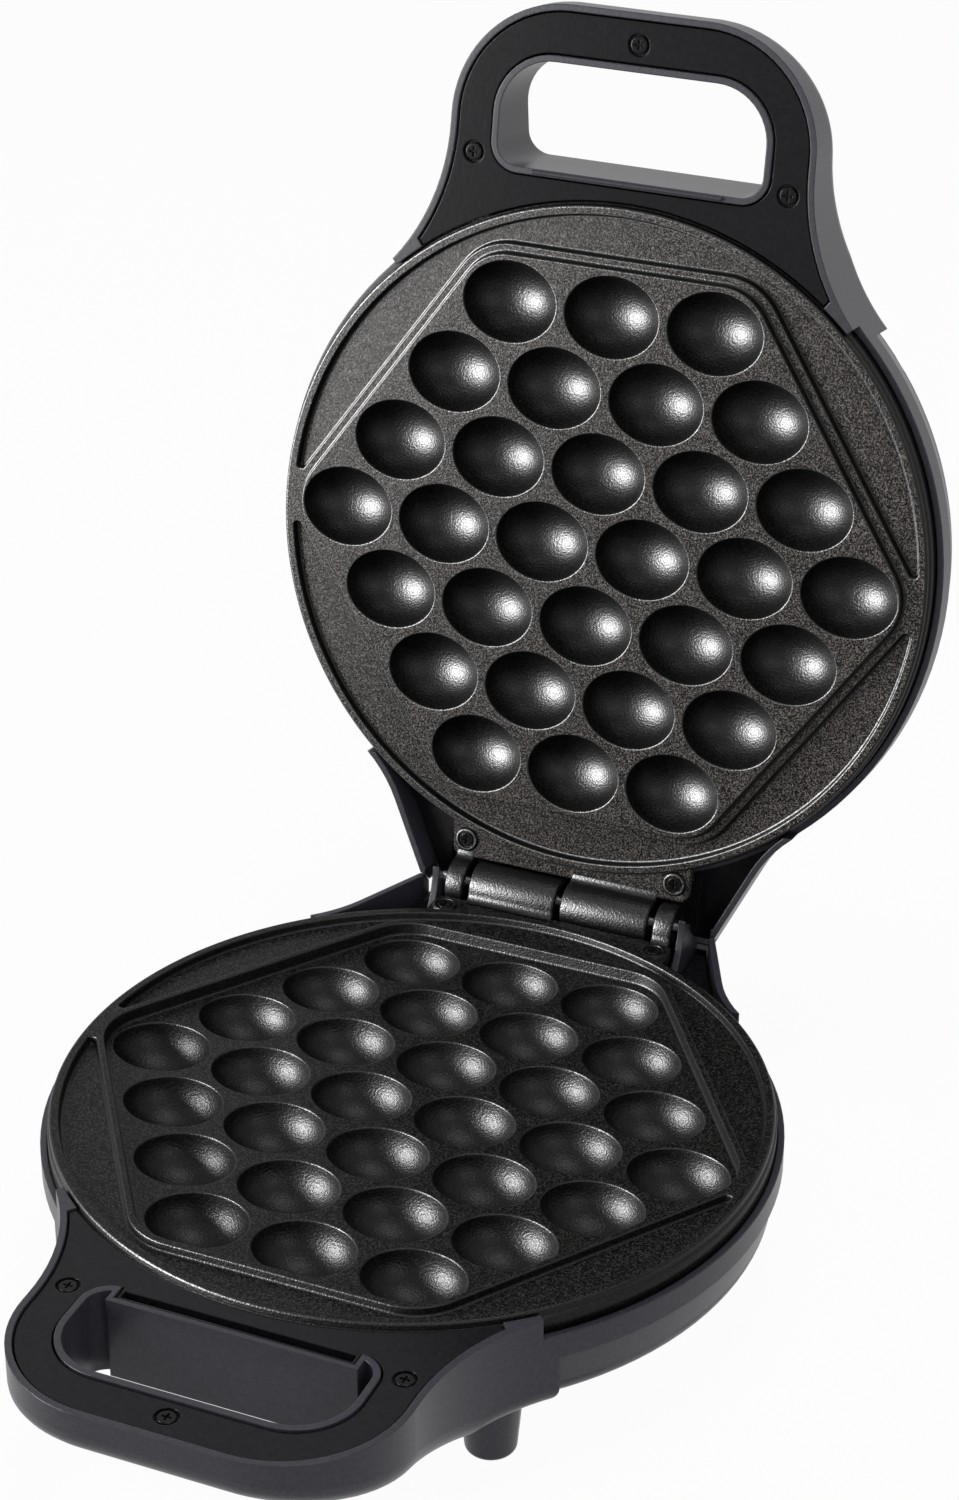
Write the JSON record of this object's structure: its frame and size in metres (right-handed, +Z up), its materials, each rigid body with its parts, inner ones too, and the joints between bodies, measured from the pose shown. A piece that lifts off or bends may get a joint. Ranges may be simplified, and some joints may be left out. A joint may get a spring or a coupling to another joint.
{
  "type": "bubble waffle maker",
  "caption": "Hinged bubble waffle maker with dimpled cast plates in a grey casing, loop handles with finger slots and short round feet, shown open.",
  "frame": {"origin": "middle of the open object's footprint, on the surface it stands on", "axes": "+Z up, -Y towards the handle of the base, +Y towards the hinge, X along the hinge"},
  "size_m": [0.221, 0.3572, 0.3362],
  "materials": {
    "casing_grey": "satin, fine texture",
    "insert_black": "satin",
    "plate_coating": "grainy non-stick coating",
    "screw_black": "black oxide",
    "bright_steel": "plain",
    "element_steel": "dull",
    "pan_aluminium": "plain",
    "pad_rubber": "matte",
    "ceramic_white": "glazed",
    "lead_sleeve": "woven glass sleeve",
    "lens_red": "clear tint",
    "lens_green": "clear tint",
    "lamp_glass": "clear"
  },
  "bodies": {
    "base": {"cord_inlet": "insert_black", "foot_pads": "pad_rubber", "hinge_pin": "bright_steel", "lower_casing": "casing_grey", "lower_clamp_screws": "bright_steel", "lower_front_screws": "bright_steel", "lower_handle_cover": "insert_black", "lower_handle_screws": "screw_black", "lower_heater": "element_steel", "lower_heater_clamps": "bright_steel", "lower_hinge_screws": "screw_black", "lower_leads": "lead_sleeve", "lower_plate": "plate_coating", "lower_rear_cover": "insert_black", "lower_reflector": "pan_aluminium", "lower_terminal_block": "ceramic_white", "lower_thermal_fuse": "ceramic_white", "lower_thermostat": "bright_steel"},
    "lid": {"indicator_lamps": "lamp_glass", "lens_heating": "lens_red", "lens_ready": "lens_green", "upper_casing": "casing_grey", "upper_clamp_screws": "bright_steel", "upper_front_screws": "bright_steel", "upper_handle_cover": "insert_black", "upper_handle_screws": "screw_black", "upper_heater": "element_steel", "upper_heater_clamps": "bright_steel", "upper_hinge_screws": "screw_black", "upper_leads": "lead_sleeve", "upper_plate": "plate_coating", "upper_rear_cover": "insert_black", "upper_reflector": "pan_aluminium", "upper_terminal_block": "ceramic_white", "upper_thermal_fuse": "ceramic_white", "upper_thermostat": "bright_steel"}
  },
  "joints": [
    {"name": "lid_hinge", "type": "hinge", "parent": "base", "child": "lid", "pos_m": [0, 0.10726, 0.055], "axis": [1, 0, 0], "range_deg": [0, 100.2]}
  ]
}
